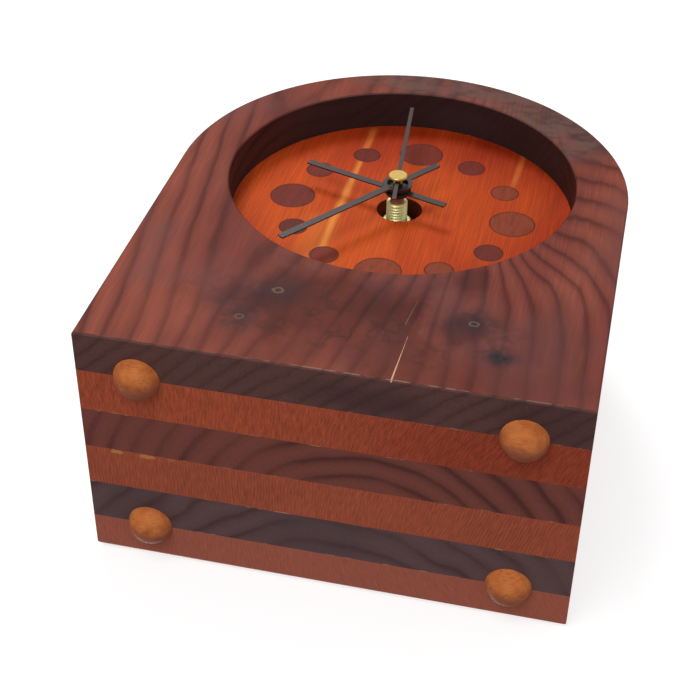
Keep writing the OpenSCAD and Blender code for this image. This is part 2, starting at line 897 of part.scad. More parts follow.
// The tab of a contact passes the bay's upper wall and reaches the circuit board's edge
module contact_tab(side, play = 0) {
    contact_strip(side, tab_w, bay_top - play, circuit_high, play);
}

module contact_positive() {
    color("#c9ab5e") {
        contact_strip(1, contact_w, contact_low, bay_top);
        contact_tab(1);
    }
}

// The negative contact carries a bent leaf that presses on the battery's flat end
module contact_negative() {
    root = contact_t - half_w + side_wall;
    tip = root + leaf_room - battery_rest;
    foot = leaf_rise - 2 * leaf_t;
    inner = leaf_tip - leaf_t;
    color("#c9ab5e") {
        contact_strip(-1, contact_w, contact_low, bay_top);
        contact_tab(-1);
        slab(battery_y - tab_w / 2, tab_w) in_movement() polygon([
            [root, battery_up - leaf_rise], [tip, battery_up - leaf_tip],
            [tip, battery_up + leaf_tip], [root, battery_up + leaf_rise],
            [root, battery_up + foot], [tip - leaf_t, battery_up + inner],
            [tip - leaf_t, battery_up - inner], [root, battery_up - foot]]);
    }
}

// Turned parts of the battery lie along X, from x to x + length
module along_battery(x, length, d) {
    translate([hand_axis[0] + x, front_y + battery_y, hand_axis[1] + battery_up])
        rotate([0, 90, 0]) cylinder(d = d, h = length);
}

module battery() {
    color("#3a4a5a") along_battery(battery_right - battery_len, battery_len, battery_d);
}

module battery_button() {
    color("#c9ccd0") along_battery(battery_right, button_len, button_d);
}

module set_knob() {
    flutes = 18;
    flute_r = 0.8;
    flute_ring = knob_d / 2 + 0.35;
    bore_depth = knob_t - 0.8;
    color("#e9e7e0") difference() {
        slab(case_back + free_gap, knob_t) translate(motion_axis) difference() {
            circle(d = knob_d);
            for (i = [1 : flutes])
                translate(polar([0, 0], flute_ring, i * 360 / flutes)) circle(flute_r);
        }
        disc(motion_axis, case_back, bore_depth, motion_arbor_d + 2 * seat_play);
    }
}

front_board();
dial_board();
third_board();
fourth_board();
fifth_board();
back_board();
large_inlays();
small_inlays();
foot(-1, front_t);  // foot_front_left
foot(1, front_t);  // foot_front_right
foot(-1, back_joint);  // foot_back_left
foot(1, back_joint);  // foot_back_right
threaded_bushing();
hex_nut();
flat_washer();
gasket();
hour_hand();
minute_hand();
second_hand();
second_hand_cap();
movement_case();
movement_cover();
middle_plate();
hour_wheel();
motion_wheel();
minute_arbor();
centre_wheel();
third_wheel();
seconds_wheel();
seconds_arbor();
fifth_wheel();
rotor_pinion();
rotor_magnet();
stator();
coil_core();
coil_bobbin();
coil_winding();
circuit_board();
chip();
crystal();
contact_positive();
contact_negative();
battery();
battery_button();
set_knob();
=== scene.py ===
import math
import bmesh
import bpy
from mathutils import Matrix, Vector


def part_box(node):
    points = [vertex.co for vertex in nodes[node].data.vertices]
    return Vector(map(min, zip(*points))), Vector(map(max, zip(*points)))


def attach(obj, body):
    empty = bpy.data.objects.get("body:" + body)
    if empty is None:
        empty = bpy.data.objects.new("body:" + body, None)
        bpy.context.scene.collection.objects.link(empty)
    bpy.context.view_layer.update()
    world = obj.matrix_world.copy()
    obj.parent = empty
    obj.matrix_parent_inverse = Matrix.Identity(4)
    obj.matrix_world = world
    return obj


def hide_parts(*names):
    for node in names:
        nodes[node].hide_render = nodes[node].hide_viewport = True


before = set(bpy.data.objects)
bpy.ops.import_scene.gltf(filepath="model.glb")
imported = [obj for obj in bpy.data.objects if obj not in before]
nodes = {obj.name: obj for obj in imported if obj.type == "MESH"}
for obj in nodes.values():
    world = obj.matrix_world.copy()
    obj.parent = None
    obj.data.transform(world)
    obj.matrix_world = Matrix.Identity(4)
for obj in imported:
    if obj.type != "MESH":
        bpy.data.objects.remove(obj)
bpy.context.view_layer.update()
scene = bpy.context.scene
scene.view_settings.view_transform = "Standard"
print("frame loaded,", len(nodes), "nodes")

# Sizes in mm, in the frame of the model: the front face lies at y = frontY
mm = 0.001
block = {
    "frontY": -47.0, "baseZ": 6.0, "axisX": -1.6, "axisZ": 125.0, "openingR": 63.5, "dialY": -32.0,
    "boardEdges": [0.0, 15.0, 31.0, 47.0, 63.0, 79.0, 94.0],  # depths behind the front face
}
joints = [block["frontY"] + depth for depth in block["boardEdges"]]


# Short calls for the materials. In their figures a noise is (waves per mm along x, y and z),
# detail, roughness, and an edge is the two levels between which something fades.

def linear(code):  # "c2481d" to the numbers that a shader takes, by the sRGB curve
    parts = [int(code[i:i + 2], 16) / 255 for i in (0, 2, 4)]
    return tuple(c / 12.92 if c <= 0.04045 else ((c + 0.055) / 1.055) ** 2.4 for c in parts) + (1.0,)


mixSockets = (0, 6, 7)  # factor and both colours of a Mix node
shaderSockets = {
    "metal": "Metallic", "coat": "Coat Weight", "coatRough": "Coat Roughness",
    "specular": "Specular IOR Level", "through": "Subsurface Weight",
}


class Finish:
    def __init__(self, name, **shader):
        self.material = bpy.data.materials.new(name)
        self.material.use_nodes = True
        self.tree = self.material.node_tree
        self.shader = self.tree.nodes["Principled BSDF"]
        for key, value in shader.items():
            self.shader.inputs[shaderSockets[key]].default_value = value

    def feed(self, socket, value):  # links a socket, or types a number in
        if isinstance(value, bpy.types.NodeSocket):
            self.tree.links.new(value, socket)
        else:
            socket.default_value = value

    def add(self, kind, inputs=(), **settings):
        node = self.tree.nodes.new(kind)
        for key, value in settings.items():
            setattr(node, key, value)
        for key, value in dict(inputs).items():
            self.feed(node.inputs[key], value)
        return node

    def calc(self, operation, *values):
        return self.add("ShaderNodeMath", enumerate(values), operation=operation).outputs[0]

    def minus(self, a, b):
        return self.calc("SUBTRACT", a, b)

    def times(self, first, *others):
        for other in others:
            first = self.calc("MULTIPLY", first, other)
        return first

    def off(self, value, level):  # how far a value is from a level, either way
        return self.calc("ABSOLUTE", self.minus(value, level))

    def length(self, a, b):
        return self.calc("SQRT", self.calc("ADD", self.times(a, a), self.times(b, b)))

    def vector(self, operation, *values):
        return self.add("ShaderNodeVectorMath", enumerate(values), operation=operation).outputs[0]

    def place(self):  # the point in mm
        spot = self.add("ShaderNodeTexCoord").outputs["Object"]
        return self.vector("MULTIPLY", spot, (1 / mm, 1 / mm, 1 / mm))

    def split(self, vector):
        return self.add("ShaderNodeSeparateXYZ", {0: vector}).outputs[:3]

    def noise(self, point, stretch, detail=2.0, rough=0.5):
        return self.add("ShaderNodeTexNoise", {
            "Vector": self.vector("MULTIPLY", point, stretch), "Scale": 1.0,
            "Detail": detail, "Roughness": rough}).outputs["Fac"]

    def swing(self, point, stretch, reach, detail=2.0):  # noise about 0, with reach from end to end
        return self.calc("MULTIPLY_ADD", self.noise(point, stretch, detail), reach, -reach / 2)

    def step(self, value, low, high, out=(0.0, 1.0)):
        return self.add("ShaderNodeMapRange", {
            "Value": value, "From Min": low, "From Max": high, "To Min": out[0],
            "To Max": out[1]}, interpolation_type="SMOOTHSTEP").outputs["Result"]

    def cut(self, point, noise, edge, out=(0.0, 1.0)):  # patches where the noise is past an edge
        return self.step(self.noise(point, *noise), *edge, out)

    def ramp(self, value, stops):
        node = self.add("ShaderNodeValToRGB", {"Fac": value})
        while len(node.color_ramp.elements) < len(stops):
            node.color_ramp.elements.new(0.5)
        for element, (spot, level) in zip(node.color_ramp.elements, stops):
            element.position = spot
            element.color = (level, level, level, 1.0)
        return node.outputs["Color"]

    def mix(self, factor, a, b, blend="MIX"):
        node = self.tree.nodes.new("ShaderNodeMix")
        node.data_type = "RGBA"
        node.blend_type = blend
        for index, value in zip(mixSockets, (factor, a, b)):
            self.feed(node.inputs[index], value)
        return node.outputs[2]  # its colour

    def relief(self, height, depth):  # depth in mm
        node = self.add("ShaderNodeBump", {"Height": height, "Distance": depth * mm, "Strength": 1.0})
        self.tree.links.new(node.outputs["Normal"], self.shader.inputs["Normal"])

    def paint(self, colour):
        self.feed(self.shader.inputs["Base Color"], colour)

    def gloss(self, value):
        self.feed(self.shader.inputs["Roughness"], value)


# Wood of the boards. A board's growth rings are circles round its pith, which is
# given as (x, y) in mm, and the rings climb with z as the trunk tapers.

wood = {
    "specular": 0.12, "rough": (0.5, 0.68), "roughEdge": (0.2, 0.8), "relief": 0.04, "lateRelief": 0.5,
    "endEdge": (0.3, 0.85),  # how far the surface's normal turns along the fibres
    "leanEdge": (-50.0, 60.0), "jitterScale": (0.8, 0.4, 0.05),
    "fade": {"noise": ((0.025, 0.025, 0.008), 2.0), "edge": (0.36, 0.6)},
    "drift": {"noise": ((0.03, 0.03, 0.012), 3.0), "edge": (0.35, 0.65)},
    "fibreDetail": (4.0, 0.65), "poreDetail": (2.0, 0.6),
    "contrast": [(0.25, 0.25), (0.5, 0.5), (0.75, 0.78)],
    "glue": {"noise": ((0.16, 0.9, 0.16), 3.0, 0.65), "edge": (0.56, 0.66)},
    "glueEdge": (0.12, 0.3), "glueFacing": 0.5, "glueTone": "b58a68",
    "cloudEdge": (0.6, 1.2), "cloudRagged": {"stretch": (0.08, 0.08, 0.03), "reach": 0.8, "detail": 3.0},
    "tornEdge": (0.75, 1.0), "tornRagged": {"stretch": (0.9, 0.9, 0.9), "reach": 0.8},
    "tornRise": (6.2, 7.0),  # in z, so that torn spots stay on the base face
}


def endGrain(f):  # 1 where the surface cuts across the fibres
    across = f.split(f.add("ShaderNodeNewGeometry").outputs["Normal"])[2]
    return f.step(f.calc("ABSOLUTE", across), *wood["endEdge"])


def roundSpot(f, a, b, centre, reach):  # distance from a spot, 1 at its edge
    da = f.calc("DIVIDE", f.minus(a, centre[0]), reach[0])
    db = f.calc("DIVIDE", f.minus(b, centre[1]), reach[1])
    return f.length(da, db)


def patchShare(f, a, b, patch, edge, ragged=0.0):  # a patch is middle, reach, share
    middle, reach, share = patch
    away = f.calc("ADD", roundSpot(f, a, b, middle, reach), ragged)
    return f.step(away, *edge, (share, 0.0))


def ringDistance(f, point, spec):
    x, y, z = f.split(point)
    across = f.length(f.minus(x, spec["pith"][0]), f.minus(y, spec["pith"][1]))
    climb = f.calc("MULTIPLY_ADD", z, spec["climb"], across)
    climb = f.calc("ADD", f.swing(point, wood["jitterScale"], spec["jitter"]), climb)
    return f.calc("ADD", f.swing(point, spec["wanderScale"], spec["wander"]), climb)


def leaning(f, point, lean, level):  # the rings lean over to the right, away from y = level
    x, y, z = f.split(point)
    bent = f.calc("MULTIPLY_ADD", f.minus(y, level), f.step(x, *wood["leanEdge"], (0.0, lean)), x)
    return f.add("ShaderNodeCombineXYZ", {0: bent, 1: y, 2: z}).outputs[0]


def woodColour(f, point, ring, spec):
    end = endGrain(f)
    saw = f.calc("FRACT", f.calc("DIVIDE", ring, spec["gap"]))
    late = f.times(f.ramp(saw, spec["profile"]), f.cut(point, **wood["fade"], out=(spec["fade"], 1.0)))
    body = f.mix(f.cut(point, **wood["drift"]), linear(spec["early"]), linear(spec["early2"]))
    body = f.mix(f.times(late, spec["lateShare"]), body, linear(spec["late"]))
    endBody = f.mix(f.times(late, spec["endLateShare"]), linear(spec["end"]), linear(spec["endLate"]))
    body = f.mix(end, body, endBody)
    fibre = f.noise(point, spec["fibre"], *wood["fibreDetail"])
    pores = f.noise(point, spec["pores"], *wood["poreDetail"])
    grain = f.mix(end, fibre, pores)
    body = f.mix(spec["fibreShare"], body, f.ramp(grain, wood["contrast"]), "OVERLAY")
    return body, late, grain, end


def finishWood(f, colour, late, grain):
    f.paint(colour)
    f.gloss(f.step(grain, *wood["roughEdge"], wood["rough"]))
    f.relief(f.calc("MULTIPLY_ADD", late, wood["lateRelief"], grain), wood["relief"])


# Darkness of a growth ring, from its inner side to its outer side
darkRings = [(0.0, 0.8), (0.12, 0.3), (0.42, 0.0), (0.72, 0.35), (0.9, 1.0)]
fineRings = [(0.0, 0.9), (0.2, 0.25), (0.6, 0.1), (0.9, 0.9), (1.0, 1.0)]

darkWood = {
    "early": "884736", "early2": "6f3a30", "late": "4e2524", "end": "5c3935", "endLate": "3e2523",
    "lateShare": 0.7, "endLateShare": 0.6, "fibreShare": 0.35, "gap": 6.0, "profile": darkRings,
    "wander": 12.0, "wanderScale": (0.03, 0.03, 0.012), "climb": 0.2, "pith": (0.0, 30.0),
    "fade": 0.35, "jitter": 0.7, "fibre": (1.6, 1.6, 0.05), "pores": (2.6, 2.6, 0.4),
}
lightWood = {
    "early": "a84c24", "early2": "9a4420", "late": "7c3218", "end": "ac5136", "endLate": "803a28",
    "lateShare": 0.6, "endLateShare": 0.55, "fibreShare": 0.45, "gap": 1.1, "profile": fineRings,
    "wander": 4.0, "wanderScale": (0.06, 0.06, 0.012), "climb": 0.004, "pith": (-900.0, -300.0),
    "fade": 0.4, "jitter": 0.5, "fibre": (1.5, 0.6, 0.045), "pores": (1.7, 0.25, 0.3),
}


def paleAlongJoints(f, point, colour, levels, share=0.75):  # specks of dried glue and torn fibre
    y = f.split(point)[1]
    facing = f.split(f.add("ShaderNodeNewGeometry").outputs["Normal"])[1]
    onSide = f.calc("LESS_THAN", f.calc("ABSOLUTE", facing), wood["glueFacing"])
    specks = f.times(f.cut(point, **wood["glue"]), onSide)
    for level in levels:
        near = f.step(f.off(y, level), *wood["glueEdge"], (1.0, 0.0))
        colour = f.mix(f.times(near, specks, share), colour, linear(wood["glueTone"]))
    return colour


def boardFinish(name, base, levels, torn=(), lean=0.0, clouds=(), **changes):
    spec = {**base, **changes}
    f = Finish(name, specular=wood["specular"])
    point = f.place()
    x, y, z = f.split(point)
    bent = leaning(f, point, lean, levels[0])
    colour, late, grain = woodColour(f, bent, ringDistance(f, bent, spec), spec)[:3]
    for *patch, tone in clouds:  # wide darker parts
        inside = patchShare(f, x, y, patch, wood["cloudEdge"], f.swing(point, **wood["cloudRagged"]))
        colour = f.mix(inside, colour, linear(tone))
    colour = paleAlongJoints(f, point, colour, levels)
    for *patch, tone in torn:  # spots on the base face
        inside = patchShare(f, x, y, patch, wood["tornEdge"], f.swing(point, **wood["tornRagged"]))
        low = f.step(z, *wood["tornRise"], (1.0, 0.0))
        colour = f.mix(f.times(inside, low), colour, linear(tone))
    finishWood(f, colour, late, grain)
    return f.material


# Front board: two flows of grain that part at a cluster of small knots, and a filled split

frontFigure = {
    "wood": {
        "gap": 8.4, "early": "8a4635", "early2": "74372d", "late": "441b19", "lateShare": 0.75,
        "end": "60403c", "endLateShare": 0.5, "fade": 0.6, "fibreShare": 0.5,
    },
    "specular": 0.09, "glueShare": 0.4,
    "level": 20.0,  # the fibres run straight up at this height
    "left": {"lean": 0.13, "edge": (-64.0, -22.0)},
    "middle": {"lean": -0.22, "edge": (12.0, 34.0), "most": 70.0},
    "right": {"curve": 8e-5, "most": 58.0, "beyond": 0.62, "edge": (26.0, 58.0)},  # bends to the left
    "flat": {"x": 66.0, "share": 0.72, "edge": (66.0, 112.0)},  # the fibres lie across at 3 o'clock
    "shift": 300.0,  # sets where the rings fall
    "depthLean": 1.2, "wander": 9.0, "wanderScale": (0.03, 0.03, 0.012),
    "ragged": {"stretch": (0.22, 0.3, 0.035), "reach": 3.2, "detail": 3.0},
    "knots": [  # middle (x, z), reach, swirl of the grain, pale eye, darkness, tone
        ((-25.3, 43.5), (5.0, 4.4), 2.2, 0.5, 0.8, "3d2729"),
        ((-33.6, 26.7), (4.2, 3.8), 2.0, 0.35, 0.75, "3d2729"),
        ((40.0, 40.4), (4.6, 3.6), 2.0, 0.45, 0.8, "352526"),
        ((50.6, 24.9), (2.7, 2.1), 1.8, 0.0, 1.0, "20232a"),
        ((-43.6, 33.3), (3.0, 2.6), 1.2, 0.0, 0.55, "3d2729"),
    ],
    "halo": {  # its size and the eye's are shares of a knot's reach
        "size": 1.9, "torn": {"noise": ((0.3, 0.3, 0.22), 3.0, 0.6), "edge": (0.25, 0.6), "out": (0.6, 1.1)},
    },
    "eye": {
        "size": 0.42, "noise": ((0.7, 0.7, 0.7), 2.0), "ragged": 0.5, "edge": (0.05, 0.36), "tone": "7d6657",
    },
    "drift": {"noise": ((0.022, 0.022, 0.016), 2.0), "edge": (0.5, 0.68), "out": (0.0, 0.5)},
    "driftTone": "6a4240",
    # patches are middle (x, z), reach, share
    "patchRagged": {"stretch": (0.07, 0.07, 0.05), "reach": 1.6, "detail": 3.0},
    "clouds": {"tone": "a28a90", "edge": (0.3, 1.1), "patches": [  # darker, purplish
        ((-31.0, 38.0), (20.0, 15.0), 0.8), ((-4.0, 42.0), (38.0, 28.0), 0.85),
        ((36.0, 36.0), (9.0, 11.0), 0.6), ((36.0, 63.0), (7.0, 12.0), 0.65),
        ((64.0, 40.0), (12.0, 26.0), 0.25), ((30.0, 12.0), (60.0, 16.0), 0.3),
    ]},
    "calms": {"tone": "5f2c23", "edge": (0.4, 1.1), "patches": [  # weaker rings
        ((-8.0, 20.0), (46.0, 24.0), 0.5), ((50.0, 12.0), (40.0, 18.0), 0.4),
        ((-20.0, 46.0), (24.0, 18.0), 0.25),
    ]},
    "curls": {"tone": "2f1a1b", "edge": (0.5, 1.1), "patches": [  # short wavy marks round the knots
        ((-22.0, 33.0), (38.0, 22.0), 0.38), ((26.0, 28.0), (36.0, 28.0), 0.32),
    ]},
    "marks": {
        "noise": ((0.16, 0.16, 0.15), 1.0, 0.5), "level": 0.5, "edge": (0.0, 0.1),
        "kept": {"noise": ((0.07, 0.07, 0.1), 2.0), "edge": (0.36, 0.6)},
    },
    "greysAndSheen": {"tones": ("45302d", "5e4742"), "edge": (0.55, 1.1), "patches": [  # mottled grey rim: partly its own mottled tone, partly painted sheen
        ((52.0, 176.0), (34.0, 32.0), 0.9), ((4.0, 198.0), (46.0, 11.0), 0.75),
        ((-20.0, 64.0), (20.0, 9.0), 0.25),
    ]},
    "mottle": {"noise": ((0.12, 0.12, 0.05), 3.0, 0.6), "edge": (0.35, 0.65), "out": (0.6, 1.0)},
    "flecks": {"noise": ((0.1, 0.16, 0.16), 2.0, 0.6), "edge": (0.35, 0.65)},
    "wall": {"edge": (1.004, 1.001), "share": 0.75, "tone": "201514"},  # painted shade on the wall of the opening
    "splits": [  # x, lean, from z, to z, half width at its foot, share
        (20.1, 0.03, 5.0, 28.0, 0.26, 0.9), (18.8, 0.11, 35.0, 47.0, 0.1, 0.25),
    ],
    "filler": {"depth": (0.9, 0.4), "tip": 0.05, "fade": 2.0, "tone": "c9a27c"},  # depth is behind the front
    "paintedEdgeHighlight": {  # painted highlight: a pale broken line on the edge between the front and the base
        "spots": {"noise": ((0.25, 0.6, 0.25), 3.0), "edge": (0.4, 0.62)},
        "across": (-50.0, 0.0), "shares": (0.25, 1.0), "depth": (0.7, 0.45), "rise": 0.55,
        "edge": (0.2, 0.1), "share": 0.5, "tone": "b08f7a",
    },
    "stains": {"tone": "3a2c2c", "edge": (0.3, 1.1), "ragged": 1.2, "patches": [  # on the base, in x and y
        ((14.0, -38.0), (26.0, 7.0), 0.5), ((70.0, -40.0), (26.0, 14.0), 0.4),
    ]},
}


def frontFlow(f, point, wander):  # the way across the fibres, in mm
    fig = frontFigure
    left, middle, right, flat = (fig[name] for name in ("left", "middle", "right", "flat"))
    x, y, z = f.split(point)
    up = f.minus(z, fig["level"])
    inside = f.step(x, *left["edge"])
    atRight = f.step(x, *right["edge"])
    lying = f.times(atRight, f.step(z, *flat["edge"], (0.0, -flat["share"])))
    ring = f.calc("ADD", f.calc("MULTIPLY_ADD", f.minus(x, flat["x"]), lying, x), fig["shift"])
    outside = f.step(x, *middle["edge"], (middle["lean"], 0.0))
    ring = f.calc("ADD", ring, f.times(f.calc("MINIMUM", up, middle["most"]), inside, outside))
    ring = f.calc("ADD", ring, f.times(up, f.minus(1.0, inside), left["lean"]))
    rise = f.calc("MINIMUM", f.calc("MAXIMUM", up, 0.0), right["most"])
    beyond = f.calc("MAXIMUM", f.minus(up, right["most"]), 0.0)
    arc = f.calc("MULTIPLY_ADD", beyond, right["beyond"], f.times(rise, rise, rise, right["curve"]))
    ring = f.calc("MULTIPLY_ADD", arc, atRight, ring)
    ring = f.calc("MULTIPLY_ADD", f.minus(y, block["frontY"]), fig["depthLean"], ring)
    ring = f.calc("ADD", f.swing(point, **fig["ragged"]), ring)
    return f.calc("MULTIPLY_ADD", wander, fig["wander"], ring)


def frontKnots(f, point, ring):  # bends the rings round the knots, and gives their dark halos and pale eyes
    halo = frontFigure["halo"]
    pale = frontFigure["eye"]
    x, z = f.split(point)[::2]
    torn = f.cut(point, **halo["torn"])
    halos = []
    eyes = 0.0
    for centre, reach, swirl, eye, dark, tone in frontFigure["knots"]:
        far = roundSpot(f, x, z, centre, [r * halo["size"] for r in reach])
        bump = f.calc("EXPONENT", f.times(far, far, -1.0))
        ring = f.calc("MULTIPLY_ADD", bump, swirl, ring)
        halos.append((f.times(bump, torn, dark), tone))
        if eye:
            shape = roundSpot(f, x, z, centre, [r * pale["size"] for r in reach])
            shape = f.calc("MULTIPLY_ADD", f.noise(point, *pale["noise"]), pale["ragged"], shape)
            eyes = f.calc("MAXIMUM", f.step(f.off(shape, 1.0), *pale["edge"], (eye, 0.0)), eyes)
    return ring, halos, eyes


def frontWear(f, point, colour, wander, end):  # painted shade on the opening's wall, splits, a painted highlight along the edge between the front and the base, and stains
    wall, filler, paintedEdgeHighlight, stains = (frontFigure[name] for name in ("wall", "filler", "paintedEdgeHighlight", "stains"))
    x, y, z = f.split(point)
    depth = f.minus(y, block["frontY"])
    opening = roundSpot(f, x, z, (0.0, block["axisZ"]), (block["openingR"], block["openingR"]))
    # painted shade darkens the opening's wall
    colour = f.mix(f.times(f.step(opening, *wall["edge"]), wall["share"]), colour, linear(wall["tone"]))
    onFront = f.step(depth, *filler["depth"])
    for foot, lean, low, high, half, share in frontFigure["splits"]:
        line = f.calc("MULTIPLY_ADD", f.minus(z, low), -lean, x)
        inside = f.calc("LESS_THAN", f.off(line, foot), f.step(z, low, high, (half, filler["tip"])))
        fade = f.step(z, high, high + filler["fade"], (share, 0.0))
        inside = f.times(inside, fade, f.calc("GREATER_THAN", z, low), onFront)
        colour = f.mix(inside, colour, linear(filler["tone"]))
    # painted highlight, a pale broken line along the edge between the front and the base
    spots = f.times(f.cut(point, **paintedEdgeHighlight["spots"]), f.step(x, *paintedEdgeHighlight["across"], paintedEdgeHighlight["shares"]))
    onEdge = f.step(f.off(z, block["baseZ"] + paintedEdgeHighlight["rise"]), *paintedEdgeHighlight["edge"])
    onEdge = f.times(onEdge, spots, f.step(depth, *paintedEdgeHighlight["depth"]), paintedEdgeHighlight["share"])
    colour = f.mix(onEdge, colour, linear(paintedEdgeHighlight["tone"]))
    ragged = f.times(wander, stains["ragged"])
    for patch in stains["patches"]:
        inside = patchShare(f, x, y, patch, stains["edge"], ragged)
        colour = f.mix(f.times(inside, end), colour, linear(stains["tone"]))
    return paleAlongJoints(f, point, colour, joints[1:2], frontFigure["glueShare"])


def frontBoardFinish():
    fig = frontFigure
    clouds, calms, curls, greysAndSheen = (fig[name] for name in ("clouds", "calms", "curls", "greysAndSheen"))
    marks = fig["marks"]
    f = Finish("front board wood", specular=fig["specular"])
    point = f.place()
    x, z = f.split(point)[::2]
    wander = f.swing(point, fig["wanderScale"], 1.0)
    ring, halos, eyes = frontKnots(f, point, frontFlow(f, point, wander))
    colour, late, grain, end = woodColour(f, point, ring, {**darkWood, **fig["wood"]})
    side = f.minus(1.0, end)
    colour = f.mix(f.times(f.cut(point, **fig["drift"]), side), colour, linear(fig["driftTone"]))
    ragged = f.swing(point, **fig["patchRagged"])
    wavy = f.step(f.off(f.noise(point, *marks["noise"]), marks["level"]), *marks["edge"], (1.0, 0.0))
    wavy = f.times(wavy, f.cut(point, **marks["kept"]), side)
    mottled = f.times(f.cut(point, **fig["mottle"]), side)
    grey = f.mix(f.cut(point, **fig["flecks"]), *(linear(tone) for tone in greysAndSheen["tones"]))
    # the grey patches put painted sheen, with mottling, on the rim
    for family, where, uneven, tone, blend in (
            (clouds, side, ragged, linear(clouds["tone"]), "MULTIPLY"),
            (calms, side, ragged, linear(calms["tone"]), "MIX"),
            (curls, wavy, ragged, linear(curls["tone"]), "MIX"),
            (greysAndSheen, mottled, 0.0, grey, "MIX")):
        for patch in family["patches"]:
            inside = f.times(patchShare(f, x, z, patch, family["edge"], uneven), where)
            colour = f.mix(inside, colour, tone, blend)
    for halo, tone in halos:
        colour = f.mix(f.times(halo, side), colour, linear(tone))
    colour = f.mix(f.times(eyes, side), colour, linear(fig["eye"]["tone"]))
    colour = frontWear(f, point, colour, wander, end)
    finishWood(f, colour, late, grain)
    return f.material


# Twelve inlays of end grain round the dial

inlays = {
    "ring": 41.7, "large": 8.3, "small": 5.15,
    "tones": [  # by the hour, from 12
        "712819", "6d2618", "863820", "84381f", "69261a", "82371d", "86381c", "782b19", "5f2317", "70281b",
        "762a1c", "692418",
    ],
    "reach": 1.1,  # in radii: a tone ends outside its inlay, in the board
    "streaks": {"noise": ((0.7, 0.7, 0.12), 3.0, 0.6), "edge": (0.35, 0.75), "out": (0.0, 0.35)},
    "streakTone": "451a12", "rim": (-0.5, -0.15), "rimShare": 0.6, "rimTone": "3a150f",
    "pores": ((2.4, 2.4, 2.4), 3.0, 0.7), "poreShare": 0.55,
    "contrast": [(0.3, 0.25), (0.5, 0.5), (0.7, 0.75)], "rough": 0.5, "relief": 0.04,
}


def inlaySpot(f, x, z, hour):  # distance from an inlay's middle, 1 at its edge, and its radius
    radius = inlays["small"] if hour % 3 else inlays["large"]
    turn = math.radians(90 - 30 * hour)
    centre = (inlays["ring"] * math.cos(turn), block["axisZ"] + inlays["ring"] * math.sin(turn))
    return roundSpot(f, x, z, centre, (radius, radius)), radius


def inlayMargin(f, x, z):  # distance in mm from the nearest inlay's edge
    margin = inlays["ring"]
    for hour in range(len(inlays["tones"])):
        spot, radius = inlaySpot(f, x, z, hour)
        margin = f.calc("MINIMUM", f.times(f.minus(spot, 1.0), radius), margin)
    return margin


def inlayFinish():
    look = inlays
    f = Finish("inlay end grain", specular=wood["specular"])
    point = f.place()
    x, z = f.split(point)[::2]
    body = linear(look["tones"][0])
    for hour, tone in enumerate(look["tones"]):
        spot = inlaySpot(f, x, z, hour)[0]
        body = f.mix(f.calc("LESS_THAN", spot, look["reach"]), body, linear(tone))
    body = f.mix(f.cut(point, **look["streaks"]), body, linear(look["streakTone"]))
    rim = f.step(inlayMargin(f, x, z), *look["rim"], (0.0, look["rimShare"]))
    body = f.mix(rim, body, linear(look["rimTone"]))
    pores = f.noise(point, *look["pores"])
    f.paint(f.mix(look["poreShare"], body, f.ramp(pores, look["contrast"]), "OVERLAY"))
    f.gloss(look["rough"])
    f.relief(pores, look["relief"])
    return f.material


# Dial board: quarter sawn, orange, with streaks of sapwood down its face

dialFigure = {
    "wood": {
        "early": "c4501a", "early2": "b24018", "late": "8a2e10", "gap": 0.9, "jitter": 1.1,
        "wanderScale": (0.03, 0.03, 0.006), "lateShare": 0.5, "fibreShare": 0.6,
    },
    "specular": 0.08, "lean": 0.4, "glueShare": 0.6,
    "streaks": [  # x at the axis, lean, half width, from z, to z, share
        (-22.6, 0.004, 1.2, 84.0, 186.0, 0.68), (37.4, 0.04, 1.0, 146.0, 184.0, 0.58),
        (-27.0, -0.02, 5.0, 66.0, 118.0, 0.2),
    ],
    "streak": {  # its edge is in half widths, and it fades in over foot and out over top
        "edge": (0.2, 1.9), "foot": 12.0, "top": 8.0, "tone": "e69240",
        "ragged": {"stretch": (0.25, 0.25, 0.03), "reach": 3.0, "detail": 3.0},
    },
    "paintedShades": [  # painted shade, darker to the right, by x, and to the top, by z, below the opening's upper wall: from, to, share
        (-5.0, 45.0, 0.5), (136.0, 182.0, 0.85),
    ],
    "paintedShadesTone": "cda2a0",
    "rings": {"edge": (0.15, 0.4), "share": 0.6, "depth": (0.6, 0.3), "tone": "3c1610"},  # glue round inlays
    # painted shade: the wall of the hole round the hands, near black
    "well": {
        "x": -0.6, "radius": 8.5, "edge": (1.02, 1.01), "depth": (0.1, 0.4), "share": 0.7, "tone": "160706",
    },
}


